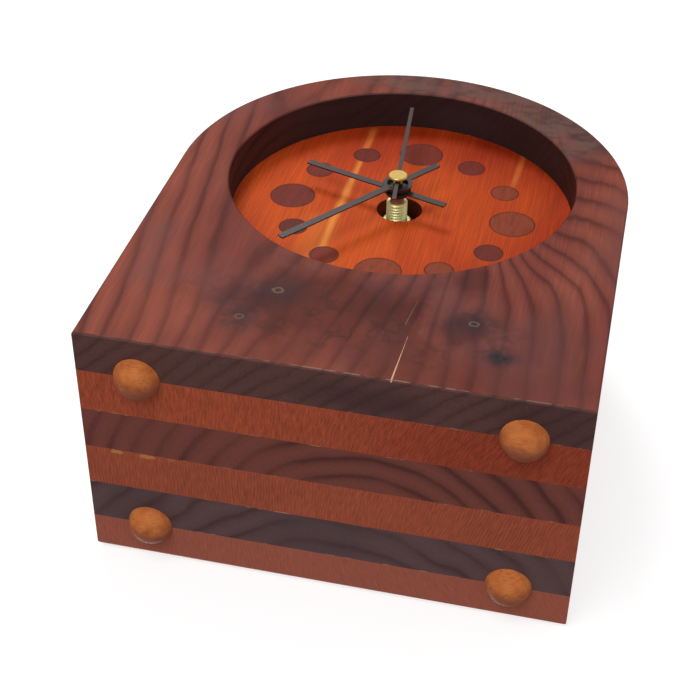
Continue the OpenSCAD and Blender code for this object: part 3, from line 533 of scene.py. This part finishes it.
def dialBoardFinish():
    fig = dialFigure
    streak, rings, well = (fig[name] for name in ("streak", "rings", "well"))
    spec = {**lightWood, **fig["wood"]}
    f = Finish("dial board wood", specular=fig["specular"])
    point = f.place()
    x, y, z = f.split(point)
    depth = f.minus(y, block["dialY"])
    up = f.minus(z, block["axisZ"])
    bent = leaning(f, point, fig["lean"], block["dialY"])
    colour, late, grain, end = woodColour(f, bent, ringDistance(f, bent, spec), spec)
    side = f.minus(1.0, end)
    ragged = f.swing(point, **streak["ragged"])
    for axisX, lean, half, low, high, share in fig["streaks"]:
        away = f.minus(f.calc("MULTIPLY_ADD", up, -lean, x), axisX)
        away = f.calc("ABSOLUTE", f.calc("ADD", away, ragged))
        inside = f.step(away, *(half * width for width in streak["edge"]), (share, 0.0))
        inside = f.times(inside, f.step(z, low, low + streak["foot"]), f.step(z, high, high - streak["top"]))
        colour = f.mix(f.times(inside, side), colour, linear(streak["tone"]))
    # painted shade on the dial, darker to the right and to the top
    for value, (low, high, share) in zip((x, z), fig["paintedShades"]):
        colour = f.mix(f.step(value, low, high, (0.0, share)), colour, linear(fig["paintedShadesTone"]), "MULTIPLY")
    inRings = f.step(f.calc("ABSOLUTE", inlayMargin(f, x, z)), *rings["edge"], (rings["share"], 0.0))
    colour = f.mix(f.times(inRings, f.step(depth, *rings["depth"])), colour, linear(rings["tone"]))
    # the hole's wall is painted near black as shade
    inPaintedWellShade = roundSpot(f, x, z, (well["x"], block["axisZ"]), (well["radius"], well["radius"]))
    inPaintedWellShade = f.times(f.step(inPaintedWellShade, *well["edge"]), f.step(depth, *well["depth"]), well["share"])
    colour = f.mix(inPaintedWellShade, colour, linear(well["tone"]))
    colour = paleAlongJoints(f, point, colour, joints[1:3], fig["glueShare"])
    finishWood(f, colour, late, grain)
    return f.material


# Feet: turned buttons, each with painted shade on the side toward the back

foot = {
    "tones": ("d07a40", "b96434"), "drift": {"noise": ((0.2, 0.2, 0.2), 2.0), "edge": (0.35, 0.7)},
    "lines": ((0.25, 2.2, 1.2), 3.0, 0.6), "lineEdge": (0.52, 0.72), "lineShares": (0.0, 0.55),
    "lineTone": "8a431b", "speckTone": "5e3a20",
    "specks": {"noise": ((3.0, 3.0, 3.0), 2.0), "edge": (0.66, 0.72), "out": (0.0, 0.4)},
    # painted shade, darker on each foot's side toward the back
    "paintedShadeEdge": (-4.0, 3.0), "paintedShadeShares": (0.0, 0.75), "paintedShadeTone": "80453a",
    "paintedShadeRagged": {"stretch": (0.5, 0.5, 0.5), "reach": 5.0},
    "rough": (0.6, 0.75), "roughEdge": (0.3, 0.7), "relief": 0.03,
}


def footFinish():
    look = foot
    f = Finish("turned foot wood", specular=wood["specular"])
    point = f.place()
    y = f.split(point)[1]
    lines = f.noise(point, *look["lines"])
    body = f.mix(f.cut(point, **look["drift"]), *(linear(tone) for tone in look["tones"]))
    body = f.mix(f.step(lines, *look["lineEdge"], look["lineShares"]), body, linear(look["lineTone"]))
    body = f.mix(f.cut(point, **look["specks"]), body, linear(look["speckTone"]))
    # the feet stand astride the first and the last joint
    row = f.calc("MULTIPLY_ADD", f.calc("GREATER_THAN", y, 0.0), joints[5] - joints[1], joints[1])
    # painted shade, growing toward the back of each foot
    shade = f.calc("ADD", f.swing(point, **look["paintedShadeRagged"]), f.minus(y, row))
    f.paint(f.mix(f.step(shade, *look["paintedShadeEdge"], look["paintedShadeShares"]), body, linear(look["paintedShadeTone"])))
    f.gloss(f.step(lines, *look["roughEdge"], look["rough"]))
    f.relief(lines, look["relief"])
    return f.material


# Metals and plastics of the movement and the hands

metalLook = {"detail": (3.0, 0.6), "toneEdge": (0.35, 0.7), "roughEdge": (0.25, 0.75)}
metals = {  # two tones, roughness, waves per mm, relief in mm, share of metal
    "bushing brass": ("f8f0b0", "ece298", (0.38, 0.5), (0.8, 0.8, 0.8), 0.003, 0.55),
    "cap brass": ("ccae62", "bf9c50", (0.3, 0.4), (0.6, 0.6, 0.6), 0.0005, 0.6),
    "arbor brass": ("bda45c", "9a8345", (0.22, 0.36), (0.6, 0.6, 0.6), 0.004, 1.0),
    "hand black": ("382a26", "2e2320", (0.34, 0.46), (0.3, 0.3, 0.3), 0.003, 0.2),
    "plain steel": ("a9adb1", "8f9398", (0.25, 0.4), (0.3, 0.3, 3.0), 0.004, 1.0),
    "nickel plate": ("cfcbc0", "b8b4a8", (0.15, 0.3), (0.5, 0.5, 0.5), 0.004, 1.0),
    "magnet": ("55585c", "44474b", (0.45, 0.6), (0.6, 0.6, 0.6), 0.004, 1.0),
    "enamelled wire": ("b4622e", "8f4420", (0.25, 0.4), (0.6, 0.6, 0.6), 0.004, 1.0),
}
plasticLook = {"detail": (2.0, 0.6), "tones": ((0.05, 0.05, 0.05), 2.0), "roughEdge": (0.3, 0.7)}
plastics = {  # two tones, roughness, waves per mm, relief in mm, other inputs of the shader
    "case plastic": ("1c1d1f", "242527", (0.42, 0.6), 3.0, 0.03, {}),
    "cover plastic": ("17181a", "1f2022", (0.45, 0.62), 3.0, 0.03, {}),
    "train nylon": ("e3dcc6", "d8cfb4", (0.35, 0.5), 2.0, 0.01, {"through": 0.05}),
    "hour wheel nylon": ("a26a56", "8c5846", (0.35, 0.5), 2.0, 0.01, {}),
    "gasket rubber": ("1a1a1a", "222222", (0.6, 0.8), 2.0, 0.02, {}),
    "circuit green": ("1f5a33", "174728", (0.3, 0.45), 1.0, 0.01, {"coat": 0.3}),
    "chip epoxy": ("0e0e0e", "161616", (0.2, 0.32), 1.0, 0.01, {}),
    "knob plastic": ("d9d6cb", "cfcbbd", (0.35, 0.5), 2.0, 0.01, {}),
}


def metalFinish(name):
    colour, tone, rough, stretch, relief, metal = metals[name]
    f = Finish(name, metal=metal)
    marks = f.noise(f.place(), stretch, *metalLook["detail"])
    f.paint(f.mix(f.step(marks, *metalLook["toneEdge"]), linear(colour), linear(tone)))
    f.gloss(f.step(marks, *metalLook["roughEdge"], rough))
    f.relief(marks, relief)
    return f.material


def plasticFinish(name):
    colour, tone, rough, waves, relief, shader = plastics[name]
    f = Finish(name, **shader)
    point = f.place()
    cells = f.noise(point, (waves, waves, waves), *plasticLook["detail"])
    f.paint(f.mix(f.noise(point, *plasticLook["tones"]), linear(colour), linear(tone)))
    f.gloss(f.step(cells, *plasticLook["roughEdge"], rough))
    f.relief(cells, relief)
    return f.material


materials = {name: metalFinish(name) for name in metals}
materials.update({name: plasticFinish(name) for name in plastics})
print("metals and plastics ready")


# Pieces made here. They are modelled in mm, and placed in their mesh.

weld = 1e-4  # mm between points that become one


def profileSpin(bm, profile, steps, closed=True):  # profile of (radius, along), turned about z
    verts = [bm.verts.new((r, 0.0, along)) for r, along in profile]
    pairs = list(zip(verts, verts[1:])) + ([(verts[-1], verts[0])] if closed else [])
    edges = [bm.edges.new(pair) for pair in pairs]
    bmesh.ops.spin(bm, geom=verts + edges, cent=(0, 0, 0), axis=(0, 0, 1), dvec=(0, 0, 0),
                   angle=2 * math.pi, steps=steps, use_merge=True, use_duplicate=False)
    bmesh.ops.remove_doubles(bm, verts=bm.verts, dist=weld)


def finishPiece(bm, name, material, body, place, creaseAt=35.0):
    bmesh.ops.remove_doubles(bm, verts=bm.verts, dist=weld)
    bmesh.ops.transform(bm, matrix=Matrix.Scale(mm, 4) @ place, verts=bm.verts)
    bmesh.ops.recalc_face_normals(bm, faces=bm.faces)
    for face in bm.faces:
        face.smooth = True
    for edge in bm.edges:
        if len(edge.link_faces) == 2 and edge.calc_face_angle() > math.radians(creaseAt):
            edge.smooth = False
    mesh = bpy.data.meshes.new(name)
    bm.to_mesh(mesh)
    bm.free()
    piece = bpy.data.objects.new(name, mesh)
    scene.collection.objects.link(piece)
    mesh.materials.append(material)
    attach(piece, body)
    return piece


def onHandAxis():  # turns z into depth, on the axis of the hands
    spot = Matrix.Translation((block["axisX"], block["frontY"], block["axisZ"]))
    return spot @ Matrix.Rotation(math.radians(-90), 4, "X")


def alongX(x, y, z):  # turns z into x, from a place in mm
    return Matrix.Translation((x, y, z)) @ Matrix.Rotation(math.radians(90), 4, "Y")


# Threaded bushing, in depths behind the front face. Its crests and roots are flat for a share
# of the pitch, and its core lies a little under the roots, so that the thread covers it.
bushing = {
    "crest": 3.95, "root": 3.38, "core": 3.28, "bore": 2.55, "boreEdge": 0.15, "top": 11.4, "lip": 0.45,
    "chamfer": 0.35, "pitch": 1.15, "turns": 9, "flat": 0.1, "flangeR": 5.95, "flangeY": 33.3,
    "flangeEnd": 34.2, "steps": 48, "bodySteps": 64, "weld": 2e-3, "cutGap": 1e-5, "crease": 28.0,
}


def makeBushing():
    s = bushing
    bm = bmesh.new()
    threadTop = s["top"] + s["lip"]
    threadEnd = threadTop + s["pitch"] * s["turns"]
    # the thread is one tooth, turned and pushed along the bushing
    flat = s["pitch"] * s["flat"]
    halfPitch = s["pitch"] * 0.5
    tooth = [(s["crest"], 0.0), (s["crest"], flat), (s["root"], halfPitch - flat * 0.5),
             (s["root"], halfPitch + flat * 0.5), (s["crest"], s["pitch"])]
    verts = [bm.verts.new((r, 0.0, threadTop - s["pitch"] + along)) for r, along in tooth]
    edges = [bm.edges.new(pair) for pair in zip(verts, verts[1:])]
    turns = s["turns"] + 2  # one more at each end, cut off below
    bmesh.ops.spin(bm, geom=verts + edges, cent=(0, 0, 0), axis=(0, 0, 1),
                   dvec=(0, 0, s["pitch"] / s["steps"]), angle=2 * math.pi * turns,
                   steps=s["steps"] * turns, use_merge=False, use_duplicate=False)
    bmesh.ops.remove_doubles(bm, verts=bm.verts, dist=s["weld"])
    for height, normal in ((threadTop, (0, 0, -1)), (threadEnd, (0, 0, 1))):
        bmesh.ops.bisect_plane(bm, geom=bm.verts[:] + bm.edges[:] + bm.faces[:], dist=s["cutGap"],
                               plane_co=(0, 0, height), plane_no=normal, clear_outer=True)
    profileSpin(bm, [
        (s["bore"], s["top"] + s["boreEdge"]), (s["bore"] + s["boreEdge"], s["top"]),
        (s["crest"] - s["chamfer"], s["top"]), (s["crest"], s["top"] + s["chamfer"]),
        (s["crest"], threadTop), (s["core"], threadTop), (s["core"], threadEnd),
        (s["crest"], threadEnd), (s["crest"], s["flangeY"]), (s["flangeR"], s["flangeY"]),
        (s["flangeR"], s["flangeEnd"]), (s["bore"], s["flangeEnd"])], s["bodySteps"])
    brass = materials["bushing brass"]
    piece = finishPiece(bm, "bushing_thread", brass, "case", onHandAxis(), s["crease"])
    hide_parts("threaded_bushing")


makeBushing()

# The cell that lies in the movement's bay, with its rolled shoulders. Its ends are given as
# (radius, step from the end), and its printed film has a plain band at the positive end.
lowCorner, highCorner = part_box("battery")
cell = {
    "r": 7.15, "middleX": (lowCorner.x + highCorner.x) / 2 / mm,
    "half": (highCorner.x - lowCorner.x) / 2 / mm,
    "y": (lowCorner.y + highCorner.y) / 2 / mm, "z": (lowCorner.z + highCorner.z) / 2 / mm,
    "shoulder": 0.9, "shoulderTurns": (0, 22.5, 45, 67.5, 90), "steps": 96,
    "positive": [(5.2, 0.0), (5.0, -0.35), (3.4, -0.35), (3.2, 0.0), (0.0, 0.0)],
    "negative": [(5.6, 0.0), (5.4, 0.3), (0.0, 0.3)],
    "bandWidth": 11.0, "bandEdge": (-0.15, 0.15), "lineEdge": (0.5, 0.7), "endEdge": (-0.12, -0.04),
    "filmTone": "27485f", "bandTone": "9aa3a8", "lineTone": "d9dcdc", "endTone": "b9bcbe",
    "scuff": ((0.5, 1.2, 1.2), 4.0, 0.6), "scuffEdge": (0.5, 0.8), "scuffShares": (0.0, 0.25),
    "scuffTone": "6f7f88", "rough": (0.25, 0.4), "roughEdge": (0.3, 0.7), "relief": 0.004,
    "film": {"specular": 0.5, "coat": 0.6, "coatRough": 0.15},
}


def sleeveFinish():
    look = cell
    f = Finish("cell sleeve", **look["film"])
    point = f.place()
    x = f.split(point)[0]
    fromBand = f.minus(x, look["middleX"] + look["half"] - look["bandWidth"])
    body = f.mix(f.step(fromBand, *look["bandEdge"]), linear(look["filmTone"]), linear(look["bandTone"]))
    line = f.step(f.calc("ABSOLUTE", fromBand), *look["lineEdge"], (1.0, 0.0))
    body = f.mix(line, body, linear(look["lineTone"]))
    scuff = f.noise(point, *look["scuff"])
    body = f.mix(f.step(scuff, *look["scuffEdge"], look["scuffShares"]), body, linear(look["scuffTone"]))
    ends = f.step(f.minus(f.off(x, look["middleX"]), look["half"]), *look["endEdge"])
    f.paint(f.mix(ends, body, linear(look["endTone"])))
    f.feed(f.shader.inputs["Metallic"], ends)
    f.gloss(f.step(scuff, *look["roughEdge"], look["rough"]))
    f.relief(scuff, look["relief"])
    return f.material


def makeCell():
    s = cell
    bm = bmesh.new()
    curve = [(s["r"] - s["shoulder"] * (1 - math.cos(a)), s["half"] - s["shoulder"] * (1 - math.sin(a)))
             for a in (math.radians(turn) for turn in s["shoulderTurns"])]
    right = curve + [(r, s["half"] + rise) for r, rise in s["positive"]]
    left = [(r, -along) for r, along in curve] + [(r, rise - s["half"]) for r, rise in s["negative"]]
    profileSpin(bm, list(reversed(left)) + right, s["steps"], closed=False)
    place = alongX(s["middleX"], s["y"], s["z"])
    piece = finishPiece(bm, "cell_body", sleeveFinish(), "battery_group", place)
    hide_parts("battery")


makeCell()

# Wire of the coil, wound side by side. Each turn bulges out.
lowCorner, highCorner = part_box("coil_winding")
coil = {
    "from": lowCorner.x / mm + 0.05, "to": highCorner.x / mm - 0.05,
    "y": (lowCorner.y + highCorner.y) / 2 / mm, "z": (lowCorner.z + highCorner.z) / 2 / mm,
    "core": 2.0, "r": 3.28, "turns": 26, "bulge": 0.12, "shares": (0.0, 0.25, 0.5, 0.75),
    "steps": 40, "crease": 60.0,
}


def makeCoil():
    s = coil
    bm = bmesh.new()
    wire = (s["to"] - s["from"]) / s["turns"]
    low = s["r"] - s["bulge"]
    top = [(low + s["bulge"] * math.sin(math.pi * share), s["from"] + (turn + share) * wire)
           for turn in range(s["turns"]) for share in s["shares"]]
    profile = [(s["core"], s["from"])] + top + [(low, s["to"]), (s["core"], s["to"])]
    profileSpin(bm, profile, s["steps"])
    place = alongX(0.0, s["y"], s["z"])
    piece = finishPiece(bm, "coil_wire", materials["enamelled wire"], "case", place, s["crease"])
    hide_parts("coil_winding")


makeCoil()
print("bushing, cell and coil made")

# Materials of the CAD nodes. Torn spots and clouds are middle (x, y), reach, share, tone.

finishes = {
    "front_board": frontBoardFinish(),
    "dial_board": dialBoardFinish(),
    "third_board": boardFinish(
        "third board wood", darkWood, joints[2:4], pith=(14.0, 32.0), gap=8.0, wander=7.0,
        end="7c443b", endLate="3e2020", endLateShare=0.7),
    "fourth_board": boardFinish(
        "fourth board wood", lightWood, joints[3:5], lean=0.35, pith=(-900.0, 60.0), early="a04a2c",
        end="a85239", torn=(
            ((-71.4, 0.9), (2.6, 0.9), 1.0, "bd7a44"), ((-61.0, 1.0), (2.9, 1.0), 1.0, "bd7a44"),
            ((-52.5, 0.7), (1.6, 0.5), 1.0, "a8653a"))),
    "fifth_board": boardFinish(
        "fifth board wood", darkWood, joints[4:6], pith=(6.0, 78.0), gap=9.0, wander=14.0,
        end="644a4c", endLate="40292a", clouds=(
            ((-4.0, 24.0), (21.0, 14.0), 0.2, "3c3536"), ((-66.0, 24.0), (12.0, 14.0), 0.25, "41383a"))),
    "back_board": boardFinish(
        "back board wood", lightWood, joints[5:6], lean=-0.5, pith=(900.0, 20.0), gap=1.3,
        early="9c4a30", early2="8f422c", end="a85c4a", endLate="8f4e3f", endLateShare=0.35,
        fibreShare=0.3),
}
for material, names in (
        (inlayFinish(), ("large_inlays", "small_inlays")),
        (footFinish(), ("foot_front_left", "foot_front_right", "foot_back_left", "foot_back_right")),
        (materials["bushing brass"], ("flat_washer", "hex_nut")),
        (materials["cap brass"], ("second_hand_cap",)),
        (materials["arbor brass"], ("minute_arbor",)),
        (materials["hand black"], ("hour_hand", "minute_hand", "second_hand")),
        (materials["plain steel"], ("seconds_arbor", "stator", "coil_core", "crystal")),
        (materials["nickel plate"], ("contact_positive", "contact_negative", "battery_button")),
        (materials["magnet"], ("rotor_magnet",)),
        (materials["case plastic"], ("movement_case",)),
        (materials["cover plastic"], ("movement_cover",)),
        (materials["train nylon"], (
            "middle_plate", "motion_wheel", "centre_wheel", "third_wheel", "seconds_wheel",
            "fifth_wheel", "rotor_pinion", "coil_bobbin")),
        (materials["hour wheel nylon"], ("hour_wheel",)),
        (materials["gasket rubber"], ("gasket",)),
        (materials["circuit green"], ("circuit_board",)),
        (materials["chip epoxy"], ("chip",)),
        (materials["knob plastic"], ("set_knob",))):
    finishes.update(dict.fromkeys(names, material))
for name, node in nodes.items():
    if name in finishes:
        node.data.materials.clear()
        node.data.materials.append(finishes[name])
print("materials on", len(finishes), "nodes")

# Floor behind the block, which lies on its back in the photograph. Only the camera sees
# it, and it is clear from its back.

floor = {"size": 2.4, "y": 47.6, "z": 100.0, "lit": 0.4, "glow": 0.72}  # size in metres, place in mm


def makeFloor():
    mesh = bpy.data.meshes.new("floor")
    bm = bmesh.new()
    bmesh.ops.create_grid(bm, x_segments=1, y_segments=1, size=floor["size"] / 2)
    spot = Matrix.Translation((0, floor["y"] * mm, floor["z"] * mm))
    place = spot @ Matrix.Rotation(math.radians(90), 4, "X")
    bmesh.ops.transform(bm, matrix=place, verts=bm.verts)
    bm.to_mesh(mesh)
    bm.free()
    plane = bpy.data.objects.new("floor", mesh)
    scene.collection.objects.link(plane)
    material = bpy.data.materials.new("floor paper")
    material.use_nodes = True
    tree = material.node_tree
    tree.nodes.clear()
    matt = tree.nodes.new("ShaderNodeBsdfDiffuse")
    matt.inputs["Color"].default_value = (floor["lit"],) * 3 + (1.0,)
    glow = tree.nodes.new("ShaderNodeEmission")
    glow.inputs["Strength"].default_value = floor["glow"]
    both = tree.nodes.new("ShaderNodeAddShader")
    clear = tree.nodes.new("ShaderNodeBsdfTransparent")
    side = tree.nodes.new("ShaderNodeNewGeometry")
    pick = tree.nodes.new("ShaderNodeMixShader")
    out = tree.nodes.new("ShaderNodeOutputMaterial")
    for a, b in ((matt.outputs[0], both.inputs[0]), (glow.outputs[0], both.inputs[1]),
                 (side.outputs["Backfacing"], pick.inputs[0]), (both.outputs[0], pick.inputs[1]),
                 (clear.outputs[0], pick.inputs[2]), (pick.outputs[0], out.inputs[0])):
        tree.links.new(a, b)
    mesh.materials.append(material)
    for kind in ("visible_diffuse", "visible_glossy", "visible_transmission", "visible_shadow"):
        setattr(plane, kind, False)


makeFloor()

# Plain light all round, a little stronger from the upper left of the photograph. Places
# and sizes are in metres, and powers in watts.

light = {
    "world": 0.42, "camera": 1.0,  # what lights the clock, and what the camera sees behind it
    "aim": (0.0, 0.0, 0.1),
    "lamps": [  # name, place, size, power
        ("key", (-0.35, -1.05, 0.8), 0.4, 8.0), ("front fill", (-0.25, -1.2, -0.6), 0.8, 8.5),
        ("right fill", (1.2, -0.3, 0.3), 0.8, 4.0), ("back fill", (-0.5, 1.2, 0.5), 0.9, 13.0),
    ],
}


def makeWorld():
    world = bpy.data.worlds.new("studio")
    scene.world = world
    world.use_nodes = True
    tree = world.node_tree
    ground = tree.nodes["Background"]
    path = tree.nodes.new("ShaderNodeLightPath")
    level = tree.nodes.new("ShaderNodeMapRange")
    level.inputs["To Min"].default_value = light["world"]
    level.inputs["To Max"].default_value = light["camera"]
    tree.links.new(path.outputs["Is Camera Ray"], level.inputs["Value"])
    tree.links.new(level.outputs["Result"], ground.inputs["Strength"])
    ground.inputs["Color"].default_value = (1.0, 1.0, 1.0, 1.0)


def makeLamp(name, spot, size, power):
    data = bpy.data.lights.new(name, "AREA")
    data.shape = "SQUARE"
    data.size = size
    data.energy = power
    lamp = bpy.data.objects.new(name, data)
    scene.collection.objects.link(lamp)
    lamp.location = spot
    lamp.rotation_euler = (Vector(light["aim"]) - Vector(spot)).to_track_quat("-Z", "Y").to_euler()


makeWorld()
for lampSettings in light["lamps"]:
    makeLamp(*lampSettings)
print("floor and lights ready")

# Camera at the photograph's place, solved from the block's edges, in mm

view = {
    "spot": (81.5, -325.8, -334.8), "forward": (-0.16839, 0.61129, 0.77328),
    "up": (-0.14566, -0.79130, 0.59382), "focalPixels": 1470.3, "pixels": 700.0, "sensor": 36.0,
    "clipStart": 0.01, "clipEnd": 50.0,  # in metres
}


def makeCamera():
    data = bpy.data.cameras.new("camera")
    data.sensor_fit = "HORIZONTAL"
    data.sensor_width = view["sensor"]
    data.lens = view["focalPixels"] / view["pixels"] * view["sensor"]
    data.clip_start = view["clipStart"]
    data.clip_end = view["clipEnd"]
    camera = bpy.data.objects.new("camera", data)
    scene.collection.objects.link(camera)
    back = -Vector(view["forward"]).normalized()
    right = Vector(view["up"]).cross(back).normalized()
    up = back.cross(right)
    turn = Matrix((right, up, back)).transposed().to_4x4()
    camera.matrix_world = Matrix.Translation(Vector(view["spot"]) * mm) @ turn
    scene.camera = camera


makeCamera()
print("scene ready")
